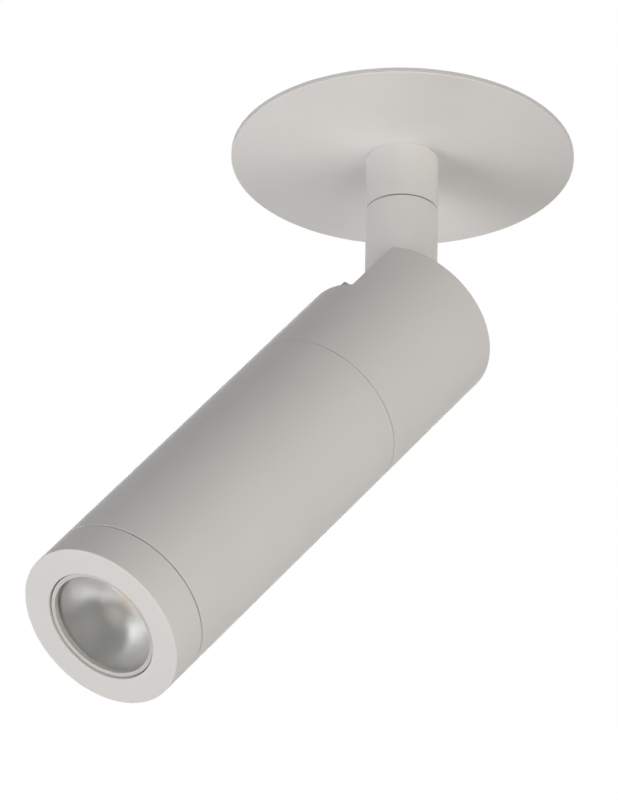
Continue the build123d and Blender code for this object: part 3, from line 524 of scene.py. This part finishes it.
# Lens ring: a round-nosed lip in front of the lens, and the flange that the bezel holds
piece("lens_surround", soften(turned([
    (lens_ring_in_r, flange_back), (flange_r, flange_back), (flange_r, flange_front),
    (lens_ring_r, flange_front), (lens_ring_r, lens_ring_front), (mouth_r, lens_ring_front),
    (mouth_r, lens_front), (lens_ring_in_r, lens_front),
]), ring_round, segments=4), "head", "lens_ring", "lens_ring", place=head_place)

# Lens: its side mirrors the light forward, and the well in its base takes in the light source
well = arc((well_r, well_top + well_crown), (0, well_top), (-well_r, well_top + well_crown),
           well_steps)
piece("collimating_lens", turned([
    (0, lens_front), (lens_rim_r, lens_front), (lens_rim_r, lens_rim_back),
    *arc((lens_side_r, lens_rim_back), (lens_mid_r, lens_mid), (lens_base_r, lens_base), 32),
    (well_r, lens_base), *well[:well_steps // 2], (0, well_top),
], steps=160, closed=False), "head", "lens", "lens", place=head_place)

# Lens cup: dark moulding around the lens's side
outer_side = arc((lens_rim_r, retainer_front), (lens_mid_r + cup_gap + cup_side,
                 lens_mid - cup_side), (lens_base_r + cup_gap + cup_side, lens_base))
inner_side = arc((lens_base_r + cup_gap, lens_base), (lens_mid_r + cup_gap, lens_mid),
                 (lens_side_r + cup_gap, lens_rim_back - rim_gap), 32)
piece("lens_holder", turned([
    (lens_rim_r, lens_rim_back - rim_gap), (lens_rim_r, flange_back), (flange_r, flange_back),
    (flange_r, retainer_front), *outer_side, *inner_side,
], steps=128), "head", "grey_plastic", "lens_cup", place=head_place)

# Light source: phosphor in a low dome, inside its dam
piece("light_source", turned([
    (0, emitter_front), *((emitter_r - inward, emitter_front + up) for inward, up in emitter_dam),
    (emitter_r, board_front), (0, board_front),
], steps=96, closed=False), "head", "phosphor", "led_emitter", place=head_place)


def clip_place(side, slope=0.0):
    """The frame of a clip on its pin: x runs outward along the arm, y up, z along the pin."""
    run, fall = cos(slope), sin(slope)
    return Matrix(((0, 0, side, 0), (side * run, side * fall, 0, side * pin_y * mm),
                   (-fall, run, 0, pin_z * mm), (0, 0, 0, 1)))


def coil_point(degrees):
    """A point on the middle line of a spring's coil, in its clip's frame."""
    turn = pi + radians(degrees)
    return Vector((coil_r * cos(turn), coil_r * sin(turn),
                   coil_pitch * (degrees / 360 - coil_span / 720)))


def coil_heading(degrees):
    """The direction of the wire there."""
    turn = pi + radians(degrees)
    return Vector((-coil_r * sin(turn), coil_r * cos(turn), coil_pitch / (2 * pi))).normalized()


def tube(points, radius, sides=14):
    """A round wire: a disc drawn out from point to point, in millimetres, smaller at both ends."""
    ways = [(points[min(i + 1, len(points) - 1)] - points[max(i - 1, 0)]).normalized()
            for i in range(len(points))]
    side = ways[0].orthogonal().normalized()
    places = []
    for point, way in zip(points, ways):
        side = (side - way * side.dot(way)).normalized()
        turn = Matrix((side.cross(way), side, way)).transposed().to_4x4()
        places.append(Matrix.Translation(point * mm) @ turn)
    for tip in (0, -1):
        places[tip] = places[tip] @ Matrix.Scale(wire_tip, 4)

    shape = bmesh.new()
    bmesh.ops.create_circle(shape, cap_ends=True, segments=sides, radius=radius * mm,
                            matrix=places[0])
    (end,) = shape.faces
    for near, far in zip(places, places[1:]):
        drawn = bmesh.ops.extrude_face_region(shape, geom=[end, *end.edges])["geom"]
        (end,) = [f for f in drawn if isinstance(f, bmesh.types.BMFace)]
        bmesh.ops.transform(shape, matrix=far @ near.inverted(), verts=end.verts[:])
    bmesh.ops.recalc_face_normals(shape, faces=shape.faces)
    return shape


for side, name in ((-1, "front"), (1, "rear")):
    sloped = clip_place(side, arm_slope)
    pinned = clip_place(side)
    clip = f"{name}_clip"

    # Clip arm: bent sheet with two flanges up to the pin
    arm = box((arm_back, arm_top - arm_t, -arm_half), (arm_len, arm_top, arm_half))
    hood = arc((-arm_flange_r, hood_low), (0, arm_flange_r),
               (arm_flange_r * hood_end[0], arm_flange_r * hood_end[1]))
    flange = [(arm_back, arm_top - flange_root), (arm_back, arm_top), *hood,
              (arm_flange_len, arm_top), (arm_flange_len, arm_top - flange_root)]
    cut(arm, slab(flange, arm_half - arm_t, arm_half), slab(flange, -arm_half, arm_t - arm_half),
        how="UNION")
    cut(arm, rod(pin_r + pin_room, -arm_half - over, arm_half + over, sides=48))
    bends = [e for e in arm.edges if all(
        abs(v.co.y - (arm_top - arm_t) * mm) < same and abs(abs(v.co.z) - arm_half * mm) < same
        for v in e.verts)]
    round_off(arm, bends, arm_bend, 5)
    piece(f"clip_arm_{name}_sheet", soften(arm, arm_round, least=32, segments=2), clip, "steel",
          f"clip_arm_{name}", place=sloped)

    # Pad: soft sleeve with grip grooves over the arm's outer end
    pad_low, pad_high = arm_top - arm_t - pad_wall, arm_top + pad_wall
    sleeve = soften(box((arm_len - pad_len, pad_low, -arm_half - pad_wall),
                        (arm_len + pad_wall, pad_high, arm_half + pad_wall)), pad_round, segments=4)
    grooves = [rod(grip_r, -arm_half - 2 * over, arm_half + 2 * over,
                   Matrix.Translation((x * mm, y * mm, 0)), 24)
               for x in grips for y in (pad_low, pad_high)]
    cut(sleeve, box((arm_len - pad_len - over, arm_top - arm_t, -arm_half),
                    (arm_len, arm_top, arm_half)), *grooves)
    piece(f"clip_pad_{name}_sleeve", sleeve, clip, "pad", f"clip_pad_{name}", place=sloped)

    # Pin: headed at both ends
    half = ear_out + pin_head_t
    piece(f"clip_pin_{name}_rivet", soften(turned([
        (0, -half), (pin_head_r, -half), (pin_head_r, -ear_out), (pin_r, -ear_out),
        (pin_r, ear_out), (pin_head_r, ear_out), (pin_head_r, half), (0, half),
    ], steps=48, closed=False), pin_round), "ceiling_mount", "zinc", f"clip_pin_{name}",
          place=pinned)

    # Spring: one unbroken wire, whose coil winds up between the cup and the arm
    wire = [coil_point(0) - coil_heading(0) * leg_up * (1 - i / leg_up_steps)
            for i in range(leg_up_steps)]
    wire += [coil_point(i * coil_span / coil_steps) for i in range(coil_steps + 1)]
    wire += [coil_point(coil_span) + coil_heading(coil_span) * leg_out * i / leg_out_steps
             for i in range(1, leg_out_steps + 1)]
    coil = tube(wire, wire_r)
    bmesh.ops.transform(coil, matrix=pinned, verts=coil.verts)
    spring = set_out(f"clip_spring_{name}_wire", coil)
    spring.data.shade_smooth()
    spring.data.materials.append(finishes["steel"])
    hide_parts(f"clip_spring_{name}")
    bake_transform(spring)

# Cover screws: flat heads with a cross recess
screws = bmesh.new()
for turn in (30, 150, 270):
    where = Matrix.Rotation(radians(turn), 4, "Z") @ Matrix.Translation((screw_ring_r * mm, 0, 0))
    screw = turned([
        (0, screw_top), (screw_head_r, screw_top), (screw_shank_r, screw_top - screw_cone),
        (screw_shank_r, screw_top - screw_len), (0, screw_top - screw_len),
    ], steps=48, closed=False)
    cut(screw, *(box((-x, -y, screw_top - cross_deep), (x, y, screw_top + over))
                 for x, y in ((cross_long, cross_wide), (cross_wide, cross_long))))
    bmesh.ops.transform(screw, matrix=where, verts=screw.verts)
    part = bpy.data.meshes.new("screw")
    screw.to_mesh(part)
    screw.free()
    screws.from_mesh(part)
    bpy.data.meshes.remove(part)
piece("cover_screw_set", soften(screws, screw_round, least=32, segments=1), "ceiling_mount",
      "zinc", "cover_screws")


# Camera: it stands where the photograph was taken from, below and to the right
camera_spot = (1.5839, -1.0476, -1.1120)
camera_turn = radians(57.304)
camera_rise = radians(118.485)
camera_roll = radians(1.04)
camera_lens = bpy.data.cameras.new("camera")
camera_lens.sensor_fit = "VERTICAL"
camera_lens.sensor_height = 36.0
camera_lens.lens = 338.9
camera_lens.clip_start = 0.1
camera_lens.clip_end = 20.0
camera = bpy.data.objects.new("camera", camera_lens)
bpy.context.scene.collection.objects.link(camera)
camera.matrix_world = (
    Matrix.Translation(camera_spot) @ Matrix.Rotation(camera_turn, 4, "Z")
    @ Matrix.Rotation(camera_rise, 4, "X") @ Matrix.Rotation(camera_roll, 4, "Z"))
bpy.context.scene.camera = camera

# Lamps: all face the middle of the spotlight
lit_middle = Vector((0, -0.05, -0.09))
lamp_distance = 1.6
lamp_size = 0.9


def hang_lamp(number, way, distance, size, power, warmth=0.0):
    """A round soft lamp that faces the spotlight; warmth is the share of blue that it lacks."""
    lamp = bpy.data.lights.new(f"lamp_{number}", "AREA")
    lamp.shape = "DISK"
    lamp.size = size
    lamp.energy = power
    lamp.color = (1, 1 - 0.37 * warmth, 1 - warmth)
    hung = bpy.data.objects.new(f"lamp_{number}", lamp)
    bpy.context.scene.collection.objects.link(hung)
    spot = Vector(way).normalized()
    hung.matrix_world = (Matrix.Translation(lit_middle + spot * distance)
                         @ spot.to_track_quat("Z", "Y").to_matrix().to_4x4())
    hung.visible_camera = False


# Large soft discs around the spotlight: the way to each, its power in watts and its warmth. The
# strongest hangs in front and a little below, the others fill the sides, the last stands behind.
lamps = [
    ((0.350, -0.749, 0.562), 3.40, 0.0), ((0.862, 0.453, -0.229), 6.77, 0.12),
    ((-0.931, 0.245, -0.271), 3.56, 0.0), ((0.896, -0.074, -0.438), 6.38, 0.09),
    ((0.004, -0.854, -0.521), 12.10, 0.0), ((0.556, 0.612, -0.562), 2.82, 0.0),
    ((-0.364, -0.579, -0.729), 5.44, 0.04), ((0.614, 0.168, -0.771), 4.09, 0.12),
    ((-0.720, 0.480, 0.500), 8.0, 0.0),
]
for number, (way, power, warmth) in enumerate(lamps):
    hang_lamp(number, way, lamp_distance, lamp_size, power, warmth)

# A small one close above the plate lights its back and the clips; the plate shades the head
hang_lamp(len(lamps), (-0.02, 0.12, 0.30), 0.33, 0.09, 0.15)


def seen_directly(tree):
    """1 where the eye, a gloss or a glass looks at the surroundings, else 0."""
    ray = tree.nodes.new("ShaderNodeLightPath")
    level = ray.outputs["Is Camera Ray"]
    for kind in ("Is Glossy Ray", "Is Transmission Ray"):
        more = tree.nodes.new("ShaderNodeMath")
        more.operation = "MAXIMUM"
        tree.links.new(level, more.inputs[0])
        tree.links.new(ray.outputs[kind], more.inputs[1])
        level = more.outputs["Value"]
    return level


# A white surround for the eye, and a faint one as a light
world = bpy.data.worlds.new("studio")
bpy.context.scene.world = world
world.use_nodes = True
tree = world.node_tree
around = tree.nodes["Background"]
around.inputs["Color"].default_value = (1, 1, 1, 1)
vary(tree, seen_directly(tree), 0.075, 1.0, around.inputs["Strength"])

# Pale floor, far below as under a ceiling
floor_drop = 3.7
floor_half = 40.0
floor_paint, tree, skin = new_finish("pale_floor")
skin.inputs["Base Color"].default_value = (0.82, 0.82, 0.81, 1)
skin.inputs["Roughness"].default_value = 0.9
skin.inputs["Emission Color"].default_value = (1, 1, 1, 1)
glow = tree.nodes.new("ShaderNodeMath")
glow.operation = "MULTIPLY"
glow.inputs[1].default_value = 0.9
tree.links.new(seen_directly(tree), glow.inputs[0])
tree.links.new(glow.outputs["Value"], skin.inputs["Emission Strength"])
floor_shape = bmesh.new()
bmesh.ops.create_grid(floor_shape, x_segments=1, y_segments=1, size=floor_half,
                      matrix=Matrix.Translation((0, 0, -floor_drop)))
ground = set_out("floor", floor_shape)
ground.data.materials.append(floor_paint)

bpy.context.scene.view_settings.view_transform = "Standard"
